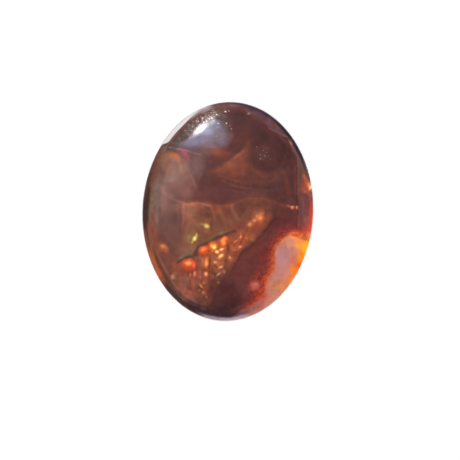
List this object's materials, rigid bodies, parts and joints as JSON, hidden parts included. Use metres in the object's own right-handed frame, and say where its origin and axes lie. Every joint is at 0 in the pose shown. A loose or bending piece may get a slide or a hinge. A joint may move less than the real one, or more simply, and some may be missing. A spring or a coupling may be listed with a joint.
{
  "type": "fire agate cabochon",
  "caption": "Loose oval fire agate cabochon: a polished, domed, see-through brown stone with glowing orange cells inside and a flat back for setting.",
  "frame": {"origin": "middle of the flat back, at the bottom of the stone", "axes": "+Z out of the top of the dome, +Y along the oval's long axis towards the end shown at the top of the picture, +X to the right as the face is looked at"},
  "size_m": [0.0104, 0.0132, 0.004],
  "materials": {
    "fire_agate": "polished, see-through brown chalcedony over an orange iridescent layer"
  },
  "bodies": {
    "root": {"cabochon": "fire_agate"}
  },
  "joints": []
}
